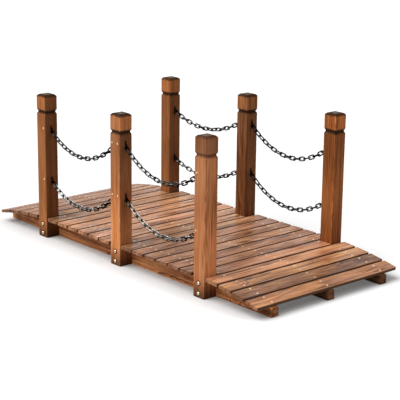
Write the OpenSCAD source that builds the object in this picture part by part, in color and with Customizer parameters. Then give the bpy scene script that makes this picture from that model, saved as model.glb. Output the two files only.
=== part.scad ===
// Garden bridge: a slatted deck on three beams, with six posts and hanging chain rails.
// X runs along the bridge, Y across it and Z up. The origin is the middle of the footprint.

/* [Deck] */
// Planks on each end ramp, beyond the end posts
ramp_planks = 4; // [2:1:5]
// Planks in each bay, between two posts
bay_planks = 6; // [4:1:8]
// Width of a plank, along the bridge
plank_w = 59; // [54:0.5:70]
// Gap between two planks
plank_gap = 6.5; // [4:0.5:12]
// Thickness of a plank
plank_t = 11; // [8:0.5:16]
// Overhang of a full plank past the outer faces of the posts
plank_overhang = 4; // [2:0.5:20]
// Gap between the end of a short plank and the post beside it
plank_end_gap = 1.5; // [0.5:0.5:5]
// Radius along the edges of a plank
plank_round = 2.5; // [0.5:0.25:3.5]
// Radius of the corners of a plank, seen from above
plank_corner = 4; // [1:0.5:10]

/* [Beams] */
// Height of a beam under the flat of the deck
beam_h = 69; // [62:1:90]
// Thickness of a beam
beam_t = 30; // [26:1:45]
// Distance between the outer faces of the outer beams
beam_spread = 554; // [400:2:800]
// Radius of the curve that lowers each end of a beam
ramp_r = 1530; // [1300:10:2400]
// Distance from the end post in to the start of that curve
ramp_lead = 40; // [30:1:80]
// Length of beam past the last plank
beam_over = 5.5; // [2:0.5:30]

/* [Posts] */
// Side of a square post
post_w = 55; // [50:0.5:70]
// Height of a post
post_h = 555; // [500:1:800]
// Chamfer along the upright edges of a post
post_ease = 1.5; // [0.5:0.25:4]
// Bevel round the flat top of a post
cap_bevel = 6.5; // [2:0.5:10]
// Depth of the groove's middle below the top of the post
groove_drop = 65; // [40:1:75]
// Height of the V groove at its mouth
groove_h = 20; // [8:0.5:24]
// Depth of the V groove
groove_d = 5; // [3:0.5:9]

/* [Post bolts] */
// Diameter of a bolt's shank
bolt_d = 6; // [5:0.5:8]
// Diameter of a bolt's button head
bolt_head_d = 12.5; // [10:0.5:14]
// Height of a bolt's head
bolt_head_h = 4; // [3:0.5:6]
// Width of the hexagonal socket in that head, across its corners
bolt_socket_d = 5; // [3:0.25:6]
// Depth of that socket
bolt_socket_h = 2.5; // [1:0.25:2.75]
// Height of the lower bolt
bolt_low_z = 15; // [10:0.5:20]
// Height of the upper bolt
bolt_high_z = 51; // [34:0.5:54]
// Length of a bolt inside the beam
bolt_bite = 22; // [10:1:24]
// Room around a bolt's shank in its hole
bolt_clear = 0.2; // [0.1:0.05:0.5]

/* [Chains] */
// Diameter of the wire of a link
wire_d = 5; // [3.5:0.25:5.5]
// Length of a link, inside
link_inner_len = 25.5; // [22:0.5:32]
// Width of a link, inside
link_inner_w = 8.5; // [7.5:0.25:11]
// Play between two links, and between a link and its pin
link_gap = 0.3; // [0.1:0.05:0.6]
// Extra length of a slack chain, as a share of its span
slack_long = 0.11; // [0.08:0.01:0.13]
// Extra length of the two tighter chains, as a share of their span
slack_short = 0.05; // [0.04:0.01:0.07]
// Height of the upper chain pins in the end posts
end_upper_z = 429; // [400:1:440]
// Height of the lower chain pins in the end posts
end_lower_z = 231; // [200:1:260]
// Height of the upper chain pins in the middle posts
middle_upper_z = 450; // [420:1:460]
// Height of the lower chain pins in the middle posts
middle_lower_z = 260; // [230:1:290]

/* [Chain pins] */
// Diameter of the screw that pins an end link
pin_d = 4; // [3:0.25:5]
// Diameter of its head
pin_head_d = 7.5; // [6:0.25:9]
// Height of its head
pin_head_h = 2.5; // [1:0.25:4]
// Distance from a pin to the face of the post where the chain comes out
pin_inset = 12; // [8:0.5:13]
// Length of a pin in the wood past the mortise
pin_bite = 12; // [6:1:16]
// Room around a pin in its hole
pin_clear = 0.1; // [0.05:0.05:0.3]
// Room on each side of an end link in its mortise
mortise_clear = 1.5; // [0.75:0.25:2.5]

/* [Hidden] */
curve_fn = 720;
round_fn = 48;
wire_fn = 24;
cut = 1;
hex_sides = 6;

post_wood = "#a5622f";
deck_wood = "#8c5a40";
beam_wood = "#86492c";
black_steel = "#26241f";
bright_steel = "#c9c6bd";

plank_pitch = plank_w + plank_gap;
plank_count = 2 * ramp_planks + 2 * bay_planks + 3;
middle_plank = (plank_count + 1) / 2;
post_pitch = (bay_planks + 1) * plank_pitch;
curve_x = post_pitch - ramp_lead;
post_y = beam_spread / 2 + post_w / 2;
full_plank = 2 * (beam_spread / 2 + post_w + plank_overhang);
short_plank = beam_spread - 2 * plank_end_gap;

// Arc along the top of the beams, from the middle of the bridge to a plank
function tilt_at(s) = abs(s) <= curve_x ? 0 : sign(s) * (abs(s) - curve_x) / ramp_r * 180 / PI;
function deck_x(s) = abs(s) <= curve_x ? s : sign(s) * (curve_x + ramp_r * sin(abs(tilt_at(s))));
function deck_z(s) = beam_h - ramp_r * (1 - cos(tilt_at(s)));

last_plank = (middle_plank - 1) * plank_pitch;
last_tilt = tilt_at(last_plank);
deck_half = deck_x(last_plank) + plank_w / 2 * cos(last_tilt) + plank_t * sin(last_tilt);
beam_half = deck_half + beam_over;

// Chain: equal links whose joints lie on a catenary between two pins
link_pitch = link_inner_len - link_gap;
link_w = link_inner_w + 2 * wire_d;
bow_r = (link_inner_w + wire_d) / 2;
leg_len = link_inner_len - link_inner_w;
pin_x = post_w / 2 - pin_inset;
pin_span = post_pitch - 2 * pin_x;
upper_rise = middle_upper_z - end_upper_z;
lower_rise = middle_lower_z - end_lower_z;
halvings = 48;

function sinh(v) = (exp(v) - exp(-v)) / 2;
function cosh(v) = (exp(v) + exp(-v)) / 2;
function asinh(v) = ln(v + sqrt(v * v + 1));
function atanh(v) = ln((1 + v) / (1 - v)) / 2;
function link_count(slack) = round((pin_span * (1 + slack) + pin_d) / link_pitch);
function chain_len(count) = count * link_pitch - pin_d;

// Half the span over the catenary's parameter, by halving the interval that holds it
function half_ratio(want, low = 0.001, high = 6, steps = halvings) =
    let (middle = (low + high) / 2)
    steps == 0 ? middle :
    sinh(middle) / middle > want ? half_ratio(want, low, middle, steps - 1) :
    half_ratio(want, middle, high, steps - 1);

// Catenary as [parameter, x of its lowest point], from the pin in the end post at [0, 0]
function catenary(count, rise) =
    let (len = chain_len(count))
    let (param = pin_span / 2 / half_ratio(sqrt(len * len - rise * rise) / pin_span))
    [param, pin_span / 2 - param * atanh(rise / len)];

// Point of a catenary at a length along the chain
function hang_point(shape, len) =
    let (start = -shape[1] / shape[0])
    let (here = asinh(len / shape[0] + sinh(start)))
    [shape[1] + shape[0] * here, shape[0] * (cosh(here) - cosh(start))];

// Joint before link number k. The outermost joints are the pins themselves
function joint_point(shape, count, k) =
    hang_point(shape, k == 0 ? 0 : min(k * link_pitch - pin_d / 2, chain_len(count)));

function heading(from, to) = atan2(to[1] - from[1], to[0] - from[0]);

// Slope of the end link at the middle post, the steepest of a chain
function end_slope(slack, rise) =
    let (count = link_count(slack))
    let (shape = catenary(count, rise))
    heading(joint_point(shape, count, count - 1), joint_point(shape, count, count));

steepest = max(end_slope(slack_long, upper_rise), end_slope(slack_long, lower_rise));
mortise_w = wire_d + 2 * mortise_clear;
mortise_up = link_w / 2 + mortise_clear;
mortise_down = pin_inset * tan(steepest) + link_w / 2 / cos(steepest) + mortise_clear;
mortise_depth = pin_inset + link_w / 2 + mortise_clear;
pin_len = post_w / 2 + mortise_w / 2 + pin_bite;

function two_digits(n) = str(n < 10 ? "0" : "", n);
function plank_name(n) = str("deck_plank_", two_digits(n));

// Rectangle about the origin with its four corners cut off
module eased_rectangle(w, h, ease) {
    x = w / 2;
    y = h / 2;
    polygon([
        [x - ease, y], [-x + ease, y], [-x, y - ease], [-x, -y + ease],
        [-x + ease, -y], [x - ease, -y], [x, -y + ease], [x, y - ease]
    ]);
}

// Rectangle about the origin with round corners
module rounded_rectangle(w, h, r) {
    square([w - 2 * r, h], center = true);
    square([w, h - 2 * r], center = true);
    for (x = [r - w / 2, w / 2 - r])
        for (y = [r - h / 2, h / 2 - r])
            translate([x, y])
                circle(r = r, $fn = round_fn);
}

// Button head below the origin, with its rim half its height and a cone above that
module button_head(d, h) {
    rim_h = h / 2;
    mirror([0, 0, 1]) {
        cylinder(h = rim_h, d = d, $fn = round_fn);
        translate([0, 0, rim_h])
            cylinder(h = h - rim_h, d1 = d, d2 = d - h, $fn = round_fn);
    }
}

// Side view of a beam: level in the middle, with a curve down to each end
module beam_profile() {
    translate([-curve_x, 0])
        square([2 * curve_x, beam_h]);
    for (end = [0, 1])
        mirror([end, 0])
            intersection() {
                translate([curve_x, 0])
                    square([beam_half - curve_x, beam_h]);
                translate([curve_x, beam_h - ramp_r])
                    circle(r = ramp_r, $fn = curve_fn);
            }
}

// Beam on the middle line of the bridge
module plain_beam() {
    rotate([90, 0, 0])
        linear_extrude(beam_t, center = true)
            beam_profile();
}

// Bolt places along a side of the bridge, as seen from the outer face of its posts
module at_bolts() {
    for (x = [-post_pitch, 0, post_pitch])
        for (z = [bolt_low_z, bolt_high_z])
            translate([x, -beam_spread / 2 - post_w, z])
                rotate([-90, 0, 0])
                    children();
}

// Beam on the near side, bored for the bolts of its posts
module side_beam() {
    difference() {
        translate([0, -beam_spread / 2 + beam_t / 2, 0])
            plain_beam();
        at_bolts()
            cylinder(h = post_w + bolt_bite + bolt_clear, d = bolt_d + 2 * bolt_clear, $fn = round_fn);
    }
}

// Front view of a post, with the V groove and the bevelled top
module post_profile() {
    x = post_w / 2;
    groove_z = post_h - groove_drop;
    half = [
        [x, 0], [x, groove_z - groove_h / 2], [x - groove_d, groove_z],
        [x, groove_z + groove_h / 2], [x, post_h - cap_bevel], [x - cap_bevel, post_h]
    ];
    last = len(half) - 1;
    polygon(concat(half, [for (i = [0 : last]) [-half[last - i][0], half[last - i][1]]]));
}

// Mortise in the +X face of a post for the end link of a chain
module mortise(z) {
    round_r = mortise_w / 2;
    translate([post_w / 2 - mortise_depth, 0, z])
        rotate([90, 0, 90])
            linear_extrude(mortise_depth + cut) {
                translate([-round_r, round_r - mortise_down])
                    square([mortise_w, mortise_up + mortise_down - mortise_w]);
                translate([0, mortise_up - round_r])
                    circle(r = round_r, $fn = round_fn);
                translate([0, round_r - mortise_down])
                    circle(r = round_r, $fn = round_fn);
            }
}

// Hole for a pin, from the outer face of a post through its mortise
module pin_hole(z) {
    translate([pin_x, -post_w / 2 - cut, z])
        rotate([-90, 0, 0])
            cylinder(h = pin_len + pin_clear + cut, d = pin_d + 2 * pin_clear, $fn = round_fn);
}

// Post about its own middle line, outer face to -Y, with chains leaving on the given sides
module post(upper_z, lower_z, mirrored_sides) {
    difference() {
        intersection() {
            rotate([90, 0, 0])
                linear_extrude(post_w, center = true)
                    post_profile();
            rotate([90, 0, 90])
                linear_extrude(post_w, center = true)
                    post_profile();
            linear_extrude(post_h)
                eased_rectangle(post_w, post_w, post_ease);
        }
        for (flip = mirrored_sides)
            mirror([flip, 0, 0])
                for (z = [upper_z, lower_z]) {
                    mortise(z);
                    pin_hole(z);
                }
        for (z = [bolt_low_z, bolt_high_z])
            translate([0, 0, z])
                rotate([90, 0, 0])
                    cylinder(h = post_w + 2 * cut, d = bolt_d + 2 * bolt_clear, center = true, $fn = round_fn);
    }
}

module end_post() {
    translate([-post_pitch, -post_y, 0])
        post(end_upper_z, end_lower_z, [0]);
}

module middle_post() {
    translate([0, -post_y, 0])
        post(middle_upper_z, middle_lower_z, [0, 1]);
}

// Plank number n from the left, seated on the top of the beams
module deck_plank(n) {
    along = (n - middle_plank) * plank_pitch;
    at_post = abs(n - middle_plank) % (bay_planks + 1) == 0 && abs(along) <= post_pitch;
    plank_len = at_post ? short_plank : full_plank;
    color(deck_wood)
        translate([deck_x(along), 0, deck_z(along)])
            rotate([90, tilt_at(along), 0])
                translate([0, plank_t / 2, 0])
                    intersection() {
                        linear_extrude(plank_len, center = true)
                            rounded_rectangle(plank_w, plank_t, plank_round);
                        rotate([90, 0, 0])
                            linear_extrude(plank_t, center = true)
                                rounded_rectangle(plank_w, plank_len, plank_corner);
                    }
}

// Link along X in the upright plane: two straight legs and two round bows
module link() {
    rotate([90, 0, 0])
        for (turn = [0, 180])
            rotate(turn) {
                translate([0, bow_r, 0])
                    rotate([0, 90, 0])
                        cylinder(h = leg_len, d = wire_d, center = true, $fn = wire_fn);
                translate([leg_len / 2, 0, 0])
                    rotate(-90)
                        rotate_extrude(angle = 180, $fn = round_fn)
                            translate([bow_r, 0])
                                circle(d = wire_d, $fn = wire_fn);
            }
}

// Chain in the near left bay. Its links turn evenly so that both end links stand upright
module chain(slack, end_z, rise) {
    count = link_count(slack);
    shape = catenary(count, rise);
    roll = 180 * round((count - 1) / 2) / (count - 1);
    color(black_steel)
        translate([-post_pitch + pin_x, -post_y, end_z])
            for (k = [0 : count - 1]) {
                from = joint_point(shape, count, k);
                to = joint_point(shape, count, k + 1);
                slope = heading(from, to);
                along = k == 0 ? -link_pitch / 2 : link_pitch / 2;
                base = k == 0 ? to : from;
                translate([base[0] + along * cos(slope), 0, base[1] + along * sin(slope)])
                    rotate([0, -slope, 0])
                        rotate([k * roll, 0, 0])
                            link();
            }
}

// Socket-headed bolts that hold the near posts to their beam
module bolts() {
    color(bright_steel)
        at_bolts() {
            cylinder(h = post_w + bolt_bite, d = bolt_d, $fn = round_fn);
            difference() {
                button_head(bolt_head_d, bolt_head_h);
                translate([0, 0, -bolt_head_h - cut])
                    cylinder(h = bolt_socket_h + cut, d = bolt_socket_d, $fn = hex_sides);
            }
        }
}

// Screws through the end links of the near chains
module chain_pins() {
    ends = [[-post_pitch + pin_x, end_upper_z, end_lower_z], [post_pitch - pin_x, end_upper_z, end_lower_z]];
    middles = [[-pin_x, middle_upper_z, middle_lower_z], [pin_x, middle_upper_z, middle_lower_z]];
    color(bright_steel)
        for (place = concat(ends, middles))
            for (z = [place[1], place[2]])
                translate([place[0], -post_y - post_w / 2, z])
                    rotate([-90, 0, 0]) {
                        cylinder(h = pin_len, d = pin_d, $fn = round_fn);
                        button_head(pin_head_d, pin_head_h);
                    }
}

module upper_chain(slack) {
    chain(slack, end_upper_z, upper_rise);
}

module lower_chain(slack) {
    chain(slack, end_lower_z, lower_rise);
}

module to_far_side() {
    mirror([0, 1, 0])
        children();
}

module to_right_bay() {
    mirror([1, 0, 0])
        children();
}

module near_beam() { color(beam_wood) side_beam(); }
module middle_beam() { color(beam_wood) plain_beam(); }
module far_beam() { color(beam_wood) to_far_side() side_beam(); }
module near_left_post() { color(post_wood) end_post(); }
module near_middle_post() { color(post_wood) middle_post(); }
module near_right_post() { color(post_wood) to_right_bay() end_post(); }
module far_left_post() { color(post_wood) to_far_side() end_post(); }
module far_middle_post() { color(post_wood) to_far_side() middle_post(); }
module far_right_post() { color(post_wood) to_far_side() to_right_bay() end_post(); }
module near_left_upper_chain() { upper_chain(slack_long); }
module near_left_lower_chain() { lower_chain(slack_long); }
module near_right_upper_chain() { to_right_bay() upper_chain(slack_long); }
module near_right_lower_chain() { to_right_bay() lower_chain(slack_long); }
module far_left_upper_chain() { to_far_side() upper_chain(slack_short); }
module far_left_lower_chain() { to_far_side() lower_chain(slack_short); }
module far_right_upper_chain() { to_far_side() to_right_bay() upper_chain(slack_long); }
module far_right_lower_chain() { to_far_side() to_right_bay() lower_chain(slack_long); }
module near_bolts() { bolts(); }
module far_bolts() { to_far_side() bolts(); }
module near_chain_pins() { chain_pins(); }
module far_chain_pins() { to_far_side() chain_pins(); }

near_beam();
middle_beam();
far_beam();
near_left_post();
near_middle_post();
near_right_post();
far_left_post();
far_middle_post();
far_right_post();
for (n = [1 : plank_count])
    deck_plank(n);
near_left_upper_chain();
near_left_lower_chain();
near_right_upper_chain();
near_right_lower_chain();
far_left_upper_chain();
far_left_lower_chain();
far_right_upper_chain();
far_right_lower_chain();
near_bolts();
far_bolts();
near_chain_pins();
far_chain_pins();
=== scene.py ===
"""Looks of the garden bridge: stained softwood, black chain and bright screws.

All lengths are in metres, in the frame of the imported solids. The heads of the deck screws are the only
pieces added to the solids.
"""
import math
import random
from typing import NamedTuple

import bmesh
import bpy
from mathutils import Matrix, Vector

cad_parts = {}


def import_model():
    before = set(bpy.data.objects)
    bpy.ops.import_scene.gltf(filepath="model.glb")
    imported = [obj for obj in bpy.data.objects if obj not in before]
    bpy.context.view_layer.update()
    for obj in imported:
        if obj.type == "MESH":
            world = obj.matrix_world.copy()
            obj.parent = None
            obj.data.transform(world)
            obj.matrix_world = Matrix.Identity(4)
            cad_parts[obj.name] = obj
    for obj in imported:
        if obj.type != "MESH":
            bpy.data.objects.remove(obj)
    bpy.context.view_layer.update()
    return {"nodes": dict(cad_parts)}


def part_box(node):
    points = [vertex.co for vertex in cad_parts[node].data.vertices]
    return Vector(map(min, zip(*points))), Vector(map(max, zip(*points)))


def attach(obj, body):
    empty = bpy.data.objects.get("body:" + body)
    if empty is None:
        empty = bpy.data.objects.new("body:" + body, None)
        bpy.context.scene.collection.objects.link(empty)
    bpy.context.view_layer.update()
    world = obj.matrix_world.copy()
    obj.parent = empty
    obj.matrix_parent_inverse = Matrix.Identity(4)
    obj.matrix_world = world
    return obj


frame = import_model()
nodes = frame["nodes"]


class Layer(NamedTuple):
    """Noise, by its changes a metre along the three axes of a place.

    It goes from no effect to its full effect between its limits.
    """

    changes: tuple
    detail: float
    roughness: float = 0.5
    limits: tuple = (0.3, 0.7)


def even(number):
    """The same number for all three axes or channels."""
    return (number, number, number)


# Viewing angle, place and lens of the photograph
VIEW_AZIMUTH = math.radians(48.875)
VIEW_ELEVATION = math.radians(15.16)
VIEW_ROLL = math.radians(0.698)
VIEW_PLACE = Vector((3.603, -3.076, 1.471))
LENS = 118.14
SENSOR = 36.0

# Studio light: a broad sun, a small lamp beside the right end, and the world's light on the object
SUN_TOWARDS = Vector((-0.35, -0.8, 1.15))
SUN_STRENGTH = 3.1
SUN_SPREAD = math.radians(55.0)
LAMP_PLACE = Vector((1.3, 0.1, 0.6))
LAMP_TARGET = Vector((0.3, 0.0, 0.3))
LAMP_SIZE = 0.6
LAMP_POWER = 1.6
WORLD_LIGHT = 0.16

# Floor: reach and height, grey that it throws light back with, white that is seen, and faint glow
FLOOR_REACH = 60.0
FLOOR_HEIGHT = -0.0005
FLOOR_BOUNCE = even(0.4)
FLOOR_WHITE = even(0.98)
FLOOR_GLOW = 0.17

# Painted contact shadow on the floor close to the object: how near it reaches, and how much of the white it
# can take away
CONTACT_REACH = 0.14
CONTACT_DEPTH = 0.6

# Pieces of the frame by kind
PLANKS = sorted(name for name in nodes if name.startswith("deck_plank"))
POSTS = sorted(name for name in nodes if name.endswith("_post"))
BEAMS = ("near_beam", "middle_beam", "far_beam")
BOLTS = ("near_bolts", "far_bolts")
CHAIN_PINS = ("near_chain_pins", "far_chain_pins")

# First seed of the grain of each kind of piece, and the seeds of the planks' tints and the screws' places
POST_SEED = 17
BEAM_SEED = 31
PLANK_SEED = 71
TINT_SEED = 5
SCREW_SEED = 3

# Distance in the texture between the grain of one seed and of the next
SEED_STEP = 3.7

# Order of the axes that turns a place into (along the grain, across the face, through it)
GRAIN_AXES = {"X": (0, 1, 2), "Y": (1, 0, 2), "Z": (2, 0, 1)}

# Layers of the wood, along, across and through the grain
PITH_WANDER = Layer((3.2, 16.0, 16.0), 2.0)
RING_WOBBLE = Layer((6.0, 40.0, 40.0), 2.0)
FIBRES = Layer((9.0, 420.0, 420.0), 3.0, 0.65, (0.4, 0.75))
STREAKS = Layer((3.0, 75.0, 75.0), 4.0, 0.65, (0.38, 0.66))
BROAD_TONES = Layer((5.0, 16.0, 16.0), 3.0)
CLOUDS = Layer(even(4.0), 1.0)
WORN_SHEEN = Layer((14.0, 110.0, 110.0), 3.0, 0.6, (0.36, 0.62))

# Layers of the edges and patches on the wood
SOAKED_EDGE = Layer(even(70.0), 3.0)
DARK_MARK_EDGE = Layer(even(60.0), 3.0)
ARRIS_PATCHES = Layer(even(25.0), 2.0, limits=(0.35, 0.6))
GREY_EDGE = Layer(even(80.0), 2.0)
GREY_MOTTLE = Layer(even(150.0), 3.0)

# Layers of the metals
HIGHLIGHT_PATCHES = Layer(even(110.0), 3.0, 0.6, (0.35, 0.6))
WIRE_SHEEN = Layer(even(600.0), 2.0)
WIRE_GRAIN = Layer(even(900.0), 2.0)
ZINC_BLOOM = Layer(even(260.0), 3.0)
ZINC_SHEEN = Layer(even(900.0), 2.0)
ZINC_GRAIN = Layer(even(1400.0), 2.0)

# Pith beside a piece: greatest offset across it, least and greatest depth, slope and reach of its wander
PITH_ACROSS = 0.03
PITH_DEPTHS = (0.012, 0.05)
PITH_SLOPE = 0.06
WANDER_REACH = 0.06

# Growth rings: least and greatest width, rings that a wobble shifts them by, and late wood's part of a ring
RING_WIDTHS = (0.0045, 0.0075)
RING_SHIFT = 0.8
LATE_WOOD_START = (0.2, 0.86)
LATE_WOOD_END = (0.9, 1.0)

# Knots: cells a metre with one knot in each, its dark eye, and the swirl of the rings round it
KNOT_CELLS = (4.125, 7.15, 7.15)
KNOT_EYE = (0.03, 0.085)
KNOT_DARKNESS = 0.85
KNOT_SHADE = 0.3
KNOT_SWIRL = (0.06, 0.28)
SWIRL_DEPTH = 0.014

# Darkness of the stain: middle value, and shares of streaks, late wood, fibres and broad tones
STAIN_MIDDLE = 0.25
STREAK_SHARE = 0.3
LATE_WOOD_SHARE = 0.4
FIBRE_SHARE = 0.22
BROAD_SHARE = 0.22

# Places of the light, middle and dark shade on the scale of darkness, and tones of the clouds
SHADE_STOPS = (0.0, 0.45, 1.0)
CLOUD_TONES = (0.87, 1.13)

# Soaked end grain: its share of the dark shade, depths under the end, ragged reach and least amount
SOAKED_SHADE = 0.45
END_DEPTHS = (0.005, 0.0008)
END_RAGGED = 0.014
LEAST_SOAK = 0.3

# Depths under a side between which the painted light and shade of the +X side set in
SIDE_DEPTHS = (0.004, 0.0005)

# Upward part of the direction that a plank's edges face, and endward part of the one that its ends face
EDGE_FACING = (0.72, 0.99)
END_FACING = (0.3, 0.7)

# Roughness of sound and of worn stain, each without gloss and with what full gloss takes off it
SOUND_STAIN = (0.6, 0.7)
WORN_STAIN = (0.7, 0.1)

# Roughness of dull wood, and how dull soaked end grain is
DULL_ROUGHNESS = 0.95
END_DULLNESS = 0.8

# Strength and depth of the wood's relief, and shares of late wood and of fibres in it
WOOD_RELIEF = (0.4, 0.0007)
LATE_WOOD_RELIEF = -0.4
FIBRE_RELIEF = 0.6

# Light, middle and dark shade of the wood
POST_SHADES = ((0.5, 0.2, 0.07), (0.37, 0.125, 0.034), (0.15, 0.043, 0.008))
BEAM_SHADES = ((0.6, 0.26, 0.105), (0.4, 0.14, 0.046), (0.11, 0.033, 0.01))
DECK_SHADES = ((0.57, 0.285, 0.14), (0.345, 0.145, 0.062), (0.085, 0.028, 0.01))
NO_TINT = (1.0, 1.0, 1.0)

# Finish of each kind of piece, as wood() takes it
POST_FINISH = {"soak": 0.6, "gloss": 0.14}
BEAM_FINISH = {"soak": 0.35, "gloss": 0.25, "figure": 1.3}
PLANK_FINISH = {"soak": 0.4, "gloss": 0.5, "edges": 0.88}

# Tone at the top, painted floor light at the foot, strength of figure and painted light and shade at +X of
# each post
POST_LOOKS = {
    "near_left_post": (0.92, 1.3, 0.55, 0.57),
    "near_middle_post": (0.86, 2.4, 0.55, 0.64),
    "near_right_post": (1.1, 1.35, 0.8, 1.3),
    "far_left_post": (0.66, 1.1, 0.6, 0.9),
    "far_middle_post": (0.48, 1.05, 1.0, 1.15),
    "far_right_post": (0.6, 1.25, 0.9, 1.2),
}

# Tint of some posts: pinker near posts from painted sheen, and a redder stain on the far right post
POST_TINTS_AND_SHEEN = {
    "near_middle_post": (1.02, 1.06, 1.25),
    "near_right_post": (1.03, 1.07, 1.35),
    "far_right_post": (1.04, 0.92, 0.75),
}

# Tone of each cap against its post, painted light and shade on the cap's +X side, and share of the groove's
# and bevels' dark marks
CAP_LOOKS = {
    "near_left_post": (1.35, 1.0, 1.0),
    "near_middle_post": (1.42, 2.4, 1.0),
    "near_right_post": (0.62, 0.9, 0.6),
    "far_left_post": (1.65, 1.25, 0.95),
    "far_middle_post": (1.85, 0.9, 1.0),
    "far_right_post": (1.6, 1.22, 1.0),
}

# Tone of the arrises of posts that are paler there from worn stain and a painted highlight, and depths under
# a side that they take up
ARRIS_WEAR_AND_HIGHLIGHT = {"near_middle_post": 1.6, "far_right_post": 1.9}
ARRIS_DEPTHS = (0.0045, 0.0015)

# Depths under a post's top between which the cap, the groove's char and painted shade and the bevels' char
# set in or end
CAP_START = (0.07, 0.05)
GROOVE_START = (0.078, 0.066)
GROOVE_END = (0.062, 0.054)
BEVEL_START = (0.011, 0.005)

# Heights of a post's dark foot, and gaps from a bolt's head between which the painted shade round it ends
FOOT_HEIGHTS = (0.001, 0.075)
BOLT_HEAD_RADIUS = 0.00625
BOLT_GAPS = (0.0015, 0.006)

# Dark marks: colour, ragged reach, and greatest share in the groove, on bevels, at the foot and round bolts
DARK_MARK_COLOUR = (0.022, 0.011, 0.006)
DARK_MARK_RAGGED = 0.008
# Char and painted shade in the groove, char on the bevels, a darker foot, and painted shade round each bolt
# head
GROOVE_CHAR_AND_SHADE = 0.95
BEVEL_CHAR = 0.9
FOOT_DARKENING = 0.75
BOLT_SHADE = 0.92

# Painted grey glint on a post's flat top: depths under the top, radii, ragged reach, greatest share and
# greys
GREY_DEPTHS = (0.001, 0.0003)
GREY_RADII = (0.012, 0.024)
GREY_RAGGED = 0.012
GREY_SHARE = 0.8
DARK_GREY = (0.1, 0.09, 0.075)
PALE_GREY = (0.3, 0.28, 0.24)

# Tone of each beam, the middle and far beams darker as painted shade under the deck
BEAM_TONES_AND_SHADE = {"near_beam": 1.75, "middle_beam": 0.48, "far_beam": 0.4}

# Tone of each plank, from the left: its own tone, raised as painted sheen on the paler planks
PLANK_TONES_AND_SHEEN = (
    0.8, 0.95, 1.0, 0.9, 1.05, 1.1, 1.42, 1.6, 1.45, 1.6, 1.5, 1.2,
    1.0, 1.05, 0.9, 1.0, 0.9, 1.0, 1.3, 1.45, 1.15, 0.66, 1.08,
)

# Plank, counted from 0 at the left, round which painted sheen makes the stain less red, and how many planks
# that reaches
SHEEN_PLANK = 9
SHEEN_REACH = 8

# Green and blue tint of a plank: its base, what painted sheen adds on the less red planks, and how far it
# varies
PLANK_GREEN = (0.95, 0.08, 0.03)
PLANK_BLUE = (0.88, 0.25, 0.07)

# Brightness of the painted highlight on the upper side of the wire on each chain
CHAIN_HIGHLIGHT = {
    "near_left_upper_chain": 0.2,
    "near_left_lower_chain": 0.55,
    "near_right_upper_chain": 0.3,
    "near_right_lower_chain": 0.65,
    "far_left_upper_chain": 0.12,
    "far_left_lower_chain": 0.3,
    "far_right_upper_chain": 0.1,
    "far_right_lower_chain": 0.12,
}

# Chain: black coat, tint of the painted highlight, tint at the wire's edges, and depths of the black at each
# end
COAT_BLACK = (0.003, 0.003, 0.0034)
HIGHLIGHT_TINT = (1.0, 0.985, 0.95)
WIRE_EDGE = (0.1, 0.1, 0.1, 1.0)
BLACK_DEPTHS = (0.055, 0.03)

# Upward part of the direction that the painted highlight faces, its least share in patches, and the wire's
# surface
HIGHLIGHT_FACING = (0.3, 0.85)
LEAST_HIGHLIGHT = 0.3
WIRE_ROUGHNESS = (0.34, 0.5)
WIRE_RELIEF = (0.15, 0.0002)

# Plating: dull and bright shade, metallic share, roughness, relief, and warmer tint of the chain pins
ZINC_SHADES = ((0.6, 0.45, 0.31), (0.9, 0.77, 0.62))
ZINC_METAL = 0.85
ZINC_ROUGHNESS = (0.24, 0.42)
ZINC_RELIEF = (0.1, 0.0001)
PIN_TINT = (0.85, 0.68, 0.56)

# Painted shade in the sockets of the bolts: depths under the head between which it ends, its share and its
# colour
SOCKET_DEPTHS = (0.0022, 0.0014)
SOCKET_SHADE = 0.95
SOCKET_SHADE_COLOUR = (0.03, 0.02, 0.014)

# Deck screws: radius, rise above the wood, distance from a plank's edge, and how far they stray
SCREW_RADIUS = 0.004
SCREW_RISE = 0.0007
SCREW_INSET = 0.0125
SCREW_STRAY_X = 0.002
SCREW_STRAY_Y = 0.004

# Rings of a screw's head from the rim inwards, as share of the radius and height, and the sides of a ring
SCREW_RINGS = ((1.0, -0.0004), (0.97, 0.6 * SCREW_RISE), (0.72, SCREW_RISE), (0.34, SCREW_RISE))
SCREW_SIDES = 16

# Cosine of the angle between two faces above which they count as one flat
FLAT_COSINE = 0.9999


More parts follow.
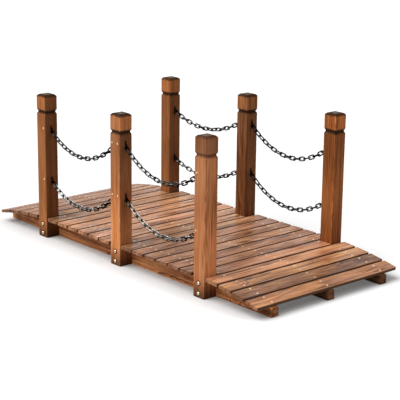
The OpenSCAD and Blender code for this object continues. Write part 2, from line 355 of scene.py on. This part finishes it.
class Nodes:
    """Short calls that add and link the nodes of one tree."""

    def __init__(self, tree):
        self.tree = tree

    def add(self, kind):
        return self.tree.nodes.new(f"ShaderNode{kind}")

    def link(self, source, target):
        self.tree.links.new(source, target)

    def set(self, socket, value):
        """Link a socket to another one, or give it a value."""
        if isinstance(value, bpy.types.NodeSocket):
            self.link(value, socket)
        else:
            socket.default_value = value

    def place(self):
        """Place of the shaded point in the frame."""
        return self.add("TexCoord").outputs["Object"]

    def facing(self):
        """The three parts of the direction that the surface faces."""
        return self.split(self.add("NewGeometry").outputs["Normal"])

    def seen(self):
        """1 for rays from the camera, a reflection or a clear surface, and 0 for light on the object."""
        rays = self.add("LightPath").outputs
        seen = self.math("MAXIMUM", rays["Is Camera Ray"], rays["Is Glossy Ray"])
        return self.math("MAXIMUM", seen, rays["Is Transmission Ray"])

    def split(self, place):
        """The three parts of a place as separate values."""
        node = self.add("SeparateXYZ")
        self.set(node.inputs[0], place)
        return node.outputs

    def join(self, x, y, z):
        """A place from its three parts."""
        node = self.add("CombineXYZ")
        for socket, value in zip(node.inputs, (x, y, z)):
            self.set(socket, value)
        return node.outputs[0]

    def math(self, operation, first, second=0.0, third=0.0, clamp=False):
        node = self.add("Math")
        node.operation = operation
        node.use_clamp = clamp
        for socket, value in zip(node.inputs, (first, second, third)):
            self.set(socket, value)
        return node.outputs[0]

    def vector(self, operation, first, second=(0.0, 0.0, 0.0)):
        node = self.add("VectorMath")
        node.operation = operation
        self.set(node.inputs[0], first)
        self.set(node.inputs[1], second)
        return node.outputs["Value" if operation == "LENGTH" else "Vector"]

    def noise(self, place, layer):
        node = self.add("TexNoise")
        self.set(node.inputs["Vector"], self.vector("MULTIPLY", place, layer.changes))
        node.inputs["Scale"].default_value = 1.0
        node.inputs["Detail"].default_value = layer.detail
        node.inputs["Roughness"].default_value = layer.roughness
        return node.outputs["Fac"]

    def cells(self, place, changes):
        """Distance from the nearest of many scattered points, one in each cell."""
        node = self.add("TexVoronoi")
        self.set(node.inputs["Vector"], self.vector("MULTIPLY", place, changes))
        node.inputs["Scale"].default_value = 1.0
        return node.outputs["Distance"]

    def band(self, value, low, high, at_low=0.0, at_high=1.0):
        """Smooth change from one number to another between two values."""
        node = self.add("MapRange")
        node.interpolation_type = "SMOOTHSTEP"
        self.set(node.inputs["Value"], value)
        limits = {"From Min": low, "From Max": high, "To Min": at_low, "To Max": at_high}
        for name, number in limits.items():
            node.inputs[name].default_value = number
        return node.outputs[0]

    def patches(self, place, layer, at_low=0.0, at_high=1.0):
        """Smooth change from one number to another between the limits of a layer."""
        return self.band(self.noise(place, layer), *layer.limits, at_low, at_high)

    def mottle(self, place, layer, first, second):
        """Change from one colour to another between the limits of a layer."""
        return self.ramp(self.noise(place, layer), layer.limits, (first, second))

    def ragged(self, place, layer, reach):
        """Offset to both sides of an edge or a line, within a reach in all."""
        return self.math("MULTIPLY_ADD", self.noise(place, layer), reach, -reach / 2)

    def ramp(self, value, stops, colours):
        """Change from colour to colour, each at its stop."""
        node = self.add("ValToRGB")
        self.set(node.inputs[0], value)
        elements = node.color_ramp.elements
        for stop in stops[1:-1]:
            elements.new(stop)
        for element, stop, colour in zip(elements, stops, colours):
            element.position = stop
            element.color = (*colour, 1.0)
        return node.outputs["Color"]

    def mix(self, share, first, second):
        """A share of the second colour in the first."""
        node = self.add("Mix")
        node.data_type = "RGBA"
        self.set(node.inputs[0], share)
        for socket, colour in zip(node.inputs[6:8], (first, second)):
            self.set(socket, colour if isinstance(colour, bpy.types.NodeSocket) else (*colour, 1.0))
        return node.outputs[2]

    def scale_colour(self, colour, factor):
        node = self.add("VectorMath")
        node.operation = "SCALE"
        self.set(node.inputs[0], colour)
        self.set(node.inputs["Scale"], factor)
        return node.outputs["Vector"]

    def bump(self, height, strength, depth):
        node = self.add("Bump")
        node.inputs["Strength"].default_value = strength
        node.inputs["Distance"].default_value = depth
        self.set(node.inputs["Height"], height)
        return node.outputs["Normal"]


class Material(Nodes):
    """The nodes of a new material."""

    def __init__(self, name):
        self.material = bpy.data.materials.new(name)
        self.material.use_nodes = True
        super().__init__(self.material.node_tree)
        self.tree.nodes.clear()
        self.output = self.add("OutputMaterial")

    def surface(self, shader):
        """The material, with a shader as its surface."""
        self.link(shader, self.output.inputs["Surface"])
        return self.material

    def principled(self, **sockets):
        node = self.add("BsdfPrincipled")
        for name, value in sockets.items():
            self.set(node.inputs[name.replace("_", " ")], value)
        return self.surface(node.outputs[0])


def scaled(colour, factor):
    """A colour made darker or paler by a factor."""
    return tuple(factor * channel for channel in colour)


def tinted(shades, tint):
    """Shades with each channel scaled by a tint."""
    return [tuple(c * t for c, t in zip(shade, tint)) for shade in shades]


def under(face, depths):
    """Places at some depths under a face."""
    return [face - depth for depth in depths]


def grain_place(n, axis, middle, seed):
    """Place along, across and through the grain about a piece's middle, and the place in the texture."""
    local = n.split(n.vector("SUBTRACT", n.place(), tuple(middle)))
    along, across, through = (local[i] for i in GRAIN_AXES[axis])
    shifted = n.math("ADD", along, seed * SEED_STEP)
    return along, across, through, n.join(shifted, across, through)


def growth_rings(n, grain, rng):
    """Share of dark late wood in rings about a pith beside the piece, and distance from a knot."""
    along, across, through, place = grain
    pith_across = rng.uniform(-PITH_ACROSS, PITH_ACROSS)
    pith_depth = rng.choice((-1, 1)) * rng.uniform(*PITH_DEPTHS)
    pith_slope = rng.uniform(-PITH_SLOPE, PITH_SLOPE)
    ring_width = rng.uniform(*RING_WIDTHS)

    # The pith wanders along the piece, and the rings swirl round each knot
    wander = n.ragged(place, PITH_WANDER, WANDER_REACH)
    side = n.math("ADD", n.math("SUBTRACT", across, pith_across), wander)
    depth = n.math("MULTIPLY_ADD", along, pith_slope, n.math("SUBTRACT", through, pith_depth))
    knot = n.cells(place, KNOT_CELLS)
    swirl = n.band(knot, *KNOT_SWIRL, SWIRL_DEPTH, 0.0)
    radius = n.math("ADD", n.vector("LENGTH", n.join(side, depth, 0.0)), swirl)

    shift = n.math("MULTIPLY", n.noise(place, RING_WOBBLE), RING_SHIFT)
    ring = n.math("FRACT", n.math("MULTIPLY_ADD", radius, 1.0 / ring_width, shift))
    start = n.band(ring, *LATE_WOOD_START)
    end = n.band(ring, *LATE_WOOD_END, 1.0, 0.0)
    return n.math("MULTIPLY", start, end), knot


def stain_colour(n, place, late_wood, fibre, shades, figure):
    """Colour of the stain, darker in late wood, in some fibres, in streaks and in broad stretches."""
    swing = STREAK_SHARE * figure
    darkness = n.patches(place, STREAKS, STAIN_MIDDLE - swing, STAIN_MIDDLE + swing)
    darkness = n.math("MULTIPLY_ADD", late_wood, LATE_WOOD_SHARE * figure, darkness)
    darkness = n.math("MULTIPLY_ADD", n.band(fibre, *FIBRES.limits), FIBRE_SHARE, darkness)
    swing = BROAD_SHARE * figure
    darkness = n.math("ADD", darkness, n.patches(place, BROAD_TONES, -swing, swing), clamp=True)
    return n.ramp(darkness, SHADE_STOPS, shades)


def edge_shade(n, share):
    """Share of shade on the long edges of a plank, which face the gaps beside it."""
    facing = n.facing()
    edges = n.band(n.math("ABSOLUTE", facing[2]), *EDGE_FACING, share, 0.0)
    not_ends = n.band(n.math("ABSOLUTE", facing[1]), *END_FACING, 1.0, 0.0)
    return n.math("MULTIPLY", edges, not_ends)


def wood(
    name, axis, box, seed, shades, tone, soak, gloss,
    foot=1.0, figure=1.0, side_light=1.0, edges=0.0, post_marks=None,
):
    """Stained softwood with its grain along an axis.

    tone scales the colour and figure sets the contrast of the grain. foot scales the tone at the low end of
    the grain as painted floor light, and the tone of the high side across it is painted light and shade.
    soak is how dark the end grain gets, gloss the sheen, and edges the painted shade on a plank's edges. The
    last argument adds what a post alone has.
    """
    n = Material(name)
    rng = random.Random(seed)
    low, high = box
    dark = shades[-1]
    grain = grain_place(n, axis, (low + high) / 2, seed)
    along, across, _, place = grain
    half_length, half_width = ((high - low)[i] / 2 for i in GRAIN_AXES[axis][:2])

    # Stain and knots, and the tone along and across the piece, with painted floor light at the foot and
    # painted light and shade at +X
    late_wood, knot = growth_rings(n, grain, rng)
    fibre = n.noise(place, FIBRES)
    colour = stain_colour(n, place, late_wood, fibre, shades, figure)
    colour = n.mix(n.band(knot, *KNOT_EYE, KNOT_DARKNESS, 0.0), colour, scaled(dark, KNOT_SHADE))
    fade = n.band(along, -half_length, half_length, tone * foot, tone)
    fade = n.math("MULTIPLY", fade, n.band(across, *under(half_width, SIDE_DEPTHS), 1.0, side_light))
    fade = n.math("MULTIPLY", fade, n.patches(place, CLOUDS, *CLOUD_TONES))
    colour = n.scale_colour(colour, fade)

    # Soaked end grain, edges in painted shade and what a post alone has, all of them dull
    from_middle = n.math("ADD", n.math("ABSOLUTE", along), n.ragged(place, SOAKED_EDGE, END_RAGGED))
    end = n.band(from_middle, *under(half_length, END_DEPTHS))
    # This colour also paints the shade on a plank's edges that face the gaps
    soaked_and_gap_shade = scaled(dark, SOAKED_SHADE)
    colour = n.mix(n.math("MULTIPLY", end, rng.uniform(LEAST_SOAK, 1.0) * soak), colour, soaked_and_gap_shade)
    dull = n.math("MULTIPLY", end, END_DULLNESS)
    if edges:
        shade = edge_shade(n, edges)
        colour = n.mix(shade, colour, soaked_and_gap_shade)
        dull = n.math("MAXIMUM", dull, shade)
    if post_marks:
        colour, dark_marks = post_marks(n, colour, place)
        dull = n.math("MAXIMUM", dull, dark_marks)

    # Relief, and a sheen that is worn in places
    height = n.math("MULTIPLY_ADD", late_wood, LATE_WOOD_RELIEF, n.math("MULTIPLY", fibre, FIBRE_RELIEF))
    sound, worn = (plain - gain * gloss for plain, gain in (SOUND_STAIN, WORN_STAIN))
    roughness = n.patches(place, WORN_SHEEN, sound, worn)
    duller = n.math("SUBTRACT", DULL_ROUGHNESS, roughness)
    return n.principled(
        Base_Color=colour,
        Roughness=n.math("MULTIPLY_ADD", dull, duller, roughness),
        Specular_IOR_Level=gloss,
        Normal=n.bump(height, *WOOD_RELIEF),
    )


def dark_mark_share(n, here, place, box, groove_and_bevel_share):
    """Share of dark marks: char and painted shade in a post's groove, char on its bevels, a darker foot, and
    painted shade round its bolts.
    """
    low, top = box
    height = n.math("ADD", n.split(here)[2], n.ragged(place, DARK_MARK_EDGE, DARK_MARK_RAGGED))
    # Char and painted shade in the groove, char on the bevels, and a darker foot
    groove_start = n.band(height, *under(top.z, GROOVE_START), 0.0, GROOVE_CHAR_AND_SHADE)
    groove_end = n.band(height, *under(top.z, GROOVE_END), 1.0, 0.0)
    groove = n.math("MULTIPLY", groove_start, groove_end)
    bevel = n.band(height, *under(top.z, BEVEL_START), 0.0, BEVEL_CHAR)
    dark_marks = n.math("MULTIPLY", n.math("MAXIMUM", groove, bevel), groove_and_bevel_share)
    foot = n.band(height, *[low.z + rise for rise in FOOT_HEIGHTS], FOOT_DARKENING, 0.0)
    dark_marks = n.math("MAXIMUM", dark_marks, foot)

    # Painted shade in the recess round each bolt head
    bolt_low, bolt_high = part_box("near_bolts")
    radii = [BOLT_HEAD_RADIUS + gap for gap in BOLT_GAPS]
    for bolt_z in (bolt_low.z + BOLT_HEAD_RADIUS, bolt_high.z - BOLT_HEAD_RADIUS):
        from_bolt = n.vector("SUBTRACT", here, ((low.x + top.x) / 2, 0.0, bolt_z))
        distance = n.vector("LENGTH", n.vector("MULTIPLY", from_bolt, (1.0, 0.0, 1.0)))
        dark_marks = n.math("MAXIMUM", dark_marks, n.band(distance, *radii, BOLT_SHADE, 0.0))
    return dark_marks


def make_post_marks(box, cap, arris_tone):
    """What a post alone has: its cap, painted light and shade at +X, paler arrises, char, painted shade and
    a painted glint.
    """
    low, top = box
    middle = (low + top) / 2
    half = top.x - middle.x
    cap_tone, cap_side_light, groove_and_bevel_share = cap

    def post_marks(n, colour, place):
        here = n.place()
        x, _, z = n.split(here)
        from_axis = n.vector("MULTIPLY", n.vector("SUBTRACT", here, tuple(middle)), (1.0, 1.0, 0.0))

        # Tone of the cap, with painted light and shade on its +X side
        in_cap = n.band(z, *under(top.z, CAP_START))
        cap_tone_and_side_light = n.band(x, *under(top.x, SIDE_DEPTHS), cap_tone, cap_tone * cap_side_light)
        change = n.math("SUBTRACT", cap_tone_and_side_light, 1.0)
        colour = n.scale_colour(colour, n.math("MULTIPLY_ADD", in_cap, change, 1.0))

        # Arrises paler in places, from worn stain and a painted highlight
        spread = n.split(n.vector("ABSOLUTE", from_axis))
        nearer = n.math("MINIMUM", spread[0], spread[1])
        arris = n.band(nearer, *under(half, ARRIS_DEPTHS))
        wear_and_highlight = n.math("MULTIPLY", arris, n.patches(place, ARRIS_PATCHES))
        colour = n.scale_colour(colour, n.math("MULTIPLY_ADD", wear_and_highlight, arris_tone - 1.0, 1.0))

        # Char and painted shade, and a painted grey glint on the flat top
        dark_marks = dark_mark_share(n, here, place, box, groove_and_bevel_share)
        colour = n.mix(dark_marks, colour, DARK_MARK_COLOUR)
        radius = n.vector("LENGTH", from_axis)
        radius = n.math("MULTIPLY_ADD", n.noise(place, GREY_EDGE), GREY_RAGGED, radius)
        on_top = n.band(z, *under(top.z, GREY_DEPTHS))
        painted_glint = n.math("MULTIPLY", n.band(radius, *GREY_RADII, GREY_SHARE, 0.0), on_top)
        return n.mix(painted_glint, colour, n.mottle(place, GREY_MOTTLE, DARK_GREY, PALE_GREY)), dark_marks

    return post_marks


def black_steel(name, box, highlight):
    """Black coated wire with dark edges and a painted highlight on its upper side, but not at the chain's
    ends.
    """
    n = Material(name)
    low, high = box
    half = (high.x - low.x) / 2
    place = n.place()
    from_middle = n.math("ABSOLUTE", n.math("SUBTRACT", n.split(place)[0], low.x + half))
    not_ends = n.band(from_middle, *under(half, BLACK_DEPTHS), 1.0, 0.0)
    upper_side = n.math("MULTIPLY", n.band(n.facing()[2], *HIGHLIGHT_FACING), not_ends)
    painted_highlight = n.math("MULTIPLY", upper_side, n.patches(place, HIGHLIGHT_PATCHES, LEAST_HIGHLIGHT, 1.0))
    return n.principled(
        Base_Color=n.mix(painted_highlight, COAT_BLACK, scaled(HIGHLIGHT_TINT, highlight)),
        Metallic=1.0,
        Specular_Tint=WIRE_EDGE,
        Roughness=n.patches(place, WIRE_SHEEN, *WIRE_ROUGHNESS),
        Normal=n.bump(n.noise(place, WIRE_GRAIN), *WIRE_RELIEF),
    )


def zinc(name, head_side=0.0, tint=NO_TINT):
    """Bright plated steel with a faint warm bloom.

    For the post bolts, head_side is how far their heads reach from the bridge's middle along Y, and there is
    painted shade in the sockets under that.
    """
    n = Material(name)
    place = n.place()
    colour = n.mottle(place, ZINC_BLOOM, *tinted(ZINC_SHADES, tint))
    if head_side:
        outward = n.math("ABSOLUTE", n.split(place)[1])
        socket_shade = n.band(outward, *under(head_side, SOCKET_DEPTHS), SOCKET_SHADE, 0.0)
        colour = n.mix(socket_shade, colour, SOCKET_SHADE_COLOUR)
    return n.principled(
        Base_Color=colour,
        Metallic=ZINC_METAL,
        Roughness=n.patches(place, ZINC_SHEEN, *ZINC_ROUGHNESS),
        Normal=n.bump(n.noise(place, ZINC_GRAIN), *ZINC_RELIEF),
    )


def dress(name, material):
    """Give a solid of the frame its material."""
    slots = nodes[name].data.materials
    slots.clear()
    slots.append(material)


def dress_posts():
    for index, name in enumerate(POSTS):
        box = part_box(name)
        shades = tinted(POST_SHADES, POST_TINTS_AND_SHEEN.get(name, NO_TINT))
        tone, foot, figure, side_light = POST_LOOKS[name]
        post_marks = make_post_marks(box, CAP_LOOKS[name], ARRIS_WEAR_AND_HIGHLIGHT.get(name, 1.0))
        dress(name, wood(
            f"{name}_wood", "Z", box, POST_SEED + index, shades, tone,
            foot=foot, figure=figure, side_light=side_light, post_marks=post_marks, **POST_FINISH,
        ))


def dress_beams():
    for index, name in enumerate(BEAMS):
        dress(name, wood(
            f"{name}_wood", "X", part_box(name), BEAM_SEED + index, BEAM_SHADES, BEAM_TONES_AND_SHADE[name],
            **BEAM_FINISH,
        ))


def dress_planks():
    """Planks of different tones, with painted sheen that makes them less red to the left of the middle."""
    rng = random.Random(TINT_SEED)
    for index, name in enumerate(PLANKS):
        painted_sheen = max(0.0, 1.0 - abs(index - SHEEN_PLANK) / SHEEN_REACH)
        green, blue = (
            base + gain * painted_sheen + rng.uniform(-swing, swing)
            for base, gain, swing in (PLANK_GREEN, PLANK_BLUE)
        )
        shades = tinted(DECK_SHADES, (1.0, green, blue))
        dress(name, wood(
            f"{name}_wood", "Y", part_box(name), PLANK_SEED + index, shades, PLANK_TONES_AND_SHEEN[index],
            **PLANK_FINISH,
        ))


def dress_metal():
    """Give the chains, the post bolts and the chain pins their materials."""
    for name, highlight in CHAIN_HIGHLIGHT.items():
        dress(name, black_steel(f"{name}_steel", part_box(name), highlight))
    head_side = abs(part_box("near_bolts")[0].y)
    for name in BOLTS:
        dress(name, zinc(f"{name}_zinc", head_side=head_side))
    for name in CHAIN_PINS:
        dress(name, zinc(f"{name}_zinc", tint=PIN_TINT))


def add_object(name, data):
    """A new object in the scene."""
    piece = bpy.data.objects.new(name, data)
    bpy.context.scene.collection.objects.link(piece)
    return piece


def plank_top(name):
    """Middle of a plank's flat top and its tilt about Y, from the plank's own mesh."""
    faces = nodes[name].data.polygons
    normal = max(faces, key=lambda face: face.area * face.normal.z).normal
    flat = [face for face in faces if face.normal.dot(normal) > FLAT_COSINE]
    area = sum(face.area for face in flat)
    middle = sum((face.center * face.area for face in flat), Vector()) / area
    return middle, math.atan2(normal.x, normal.z)


def add_screw(bm, place, turn, tilt):
    """A low round head with a pit in the middle, its rim just under the top of the wood."""
    basis = Matrix.Translation(place) @ Matrix.Rotation(tilt, 4, "Y") @ Matrix.Rotation(turn, 4, "Z")
    loops = []
    for share, height in SCREW_RINGS:
        loop = []
        for i in range(SCREW_SIDES):
            angle = 2 * math.pi * i / SCREW_SIDES
            point = Vector((math.cos(angle), math.sin(angle), 0.0)) * SCREW_RADIUS * share
            loop.append(bm.verts.new(basis @ (point + Vector((0.0, 0.0, height)))))
        loops.append(loop)
    for outer, inner in zip(loops, loops[1:]):
        for i in range(SCREW_SIDES):
            j = (i + 1) % SCREW_SIDES
            bm.faces.new((outer[i], outer[j], inner[j], inner[i]))
    pit = bm.verts.new(basis @ Vector((0.0, 0.0, -SCREW_RISE)))
    for i in range(SCREW_SIDES):
        bm.faces.new((loops[-1][i], loops[-1][(i + 1) % SCREW_SIDES], pit))


def deck_screws():
    """Two screws at each crossing of a plank and a beam, joined in one mesh."""
    bm = bmesh.new()
    rng = random.Random(SCREW_SEED)
    for name in PLANKS:
        low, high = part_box(name)
        middle, tilt = plank_top(name)
        reach = (high.x - low.x) / 2 - SCREW_INSET
        for beam in BEAMS:
            beam_low, beam_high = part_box(beam)
            beam_y = (beam_low.y + beam_high.y) / 2
            for side in (-1, 1):
                offset = side * reach + rng.uniform(-SCREW_STRAY_X, SCREW_STRAY_X)
                along_top = Matrix.Rotation(tilt, 3, "Y") @ Vector((offset, 0.0, 0.0))
                y = beam_y + rng.uniform(-SCREW_STRAY_Y, SCREW_STRAY_Y)
                place = Vector((middle.x, y, middle.z)) + along_top
                add_screw(bm, place, rng.uniform(0.0, math.pi), tilt)
    mesh = bpy.data.meshes.new("deck_screws")
    bm.to_mesh(mesh)
    bm.free()
    mesh.materials.append(zinc("deck_screw_zinc"))
    piece = add_object("deck_screws", mesh)
    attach(piece, "root")


def floor_white():
    """White with a faint glow where it is seen, and a painted contact shadow close to the object."""
    n = Material("floor_white")
    seen = n.seen()
    nearby = n.add("AmbientOcclusion")
    nearby.inputs["Distance"].default_value = CONTACT_REACH
    contact = n.math("MULTIPLY_ADD", nearby.outputs["AO"], CONTACT_DEPTH, 1.0 - CONTACT_DEPTH)
    white = n.ramp(seen, (0.0, 1.0), (FLOOR_BOUNCE, FLOOR_WHITE))
    diffuse = n.add("BsdfDiffuse")
    n.link(n.scale_colour(white, contact), diffuse.inputs["Color"])
    glow = n.add("Emission")
    n.link(n.math("MULTIPLY", n.math("MULTIPLY", seen, FLOOR_GLOW), contact), glow.inputs["Strength"])
    both = n.add("AddShader")
    n.link(diffuse.outputs[0], both.inputs[0])
    n.link(glow.outputs[0], both.inputs[1])
    return n.surface(both.outputs[0])


def floor():
    """White floor that keeps the soft shadow of the bridge."""
    mesh = bpy.data.meshes.new("floor")
    signs = ((-1, -1), (1, -1), (1, 1), (-1, 1))
    corners = [(x * FLOOR_REACH, y * FLOOR_REACH, FLOOR_HEIGHT) for x, y in signs]
    mesh.from_pydata(corners, [], [(0, 1, 2, 3)])
    mesh.materials.append(floor_white())
    piece = add_object("floor", mesh)


def world():
    """Even white light, full white to the camera and in reflections."""
    studio = bpy.data.worlds.new("studio")
    bpy.context.scene.world = studio
    studio.use_nodes = True
    n = Nodes(studio.node_tree)
    background = n.tree.nodes["Background"]
    background.inputs["Color"].default_value = (1.0, 1.0, 1.0, 1.0)
    n.link(n.band(n.seen(), 0.0, 1.0, WORLD_LIGHT, 1.0), background.inputs["Strength"])


def shine_from(piece, direction):
    """Turn a lamp so that its light comes from a direction."""
    piece.rotation_euler = direction.to_track_quat("Z", "Y").to_euler()


def sun():
    """Broad directional light from the left, in front and above."""
    lamp = bpy.data.lights.new("key", "SUN")
    lamp.energy = SUN_STRENGTH
    lamp.angle = SUN_SPREAD
    shine_from(add_object("key", lamp), SUN_TOWARDS)


def side_lamp():
    """Small soft lamp beside the right end, which the camera doesn't see."""
    lamp = bpy.data.lights.new("fill", "AREA")
    lamp.energy = LAMP_POWER
    lamp.size = LAMP_SIZE
    piece = add_object("fill", lamp)
    piece.location = LAMP_PLACE
    piece.visible_camera = False
    shine_from(piece, LAMP_PLACE - LAMP_TARGET)


def camera():
    """Camera at the photograph's place and angle."""
    back = Vector((
        math.sin(VIEW_AZIMUTH) * math.cos(VIEW_ELEVATION),
        -math.cos(VIEW_AZIMUTH) * math.cos(VIEW_ELEVATION),
        math.sin(VIEW_ELEVATION),
    ))
    right = Vector((math.cos(VIEW_AZIMUTH), math.sin(VIEW_AZIMUTH), 0.0))
    up = back.cross(right)
    axes = Matrix((right, up, back)).transposed() @ Matrix.Rotation(VIEW_ROLL, 3, "Z")
    lens = bpy.data.cameras.new("photo_view")
    lens.lens = LENS
    lens.sensor_width = SENSOR
    lens.sensor_fit = "HORIZONTAL"
    piece = add_object("photo_view", lens)
    piece.matrix_world = Matrix.Translation(VIEW_PLACE) @ axes.to_4x4()
    bpy.context.scene.camera = piece


dress_posts()
dress_beams()
dress_planks()
dress_metal()
deck_screws()
floor()
world()
sun()
side_lamp()
camera()
bpy.context.scene.view_settings.view_transform = "Standard"
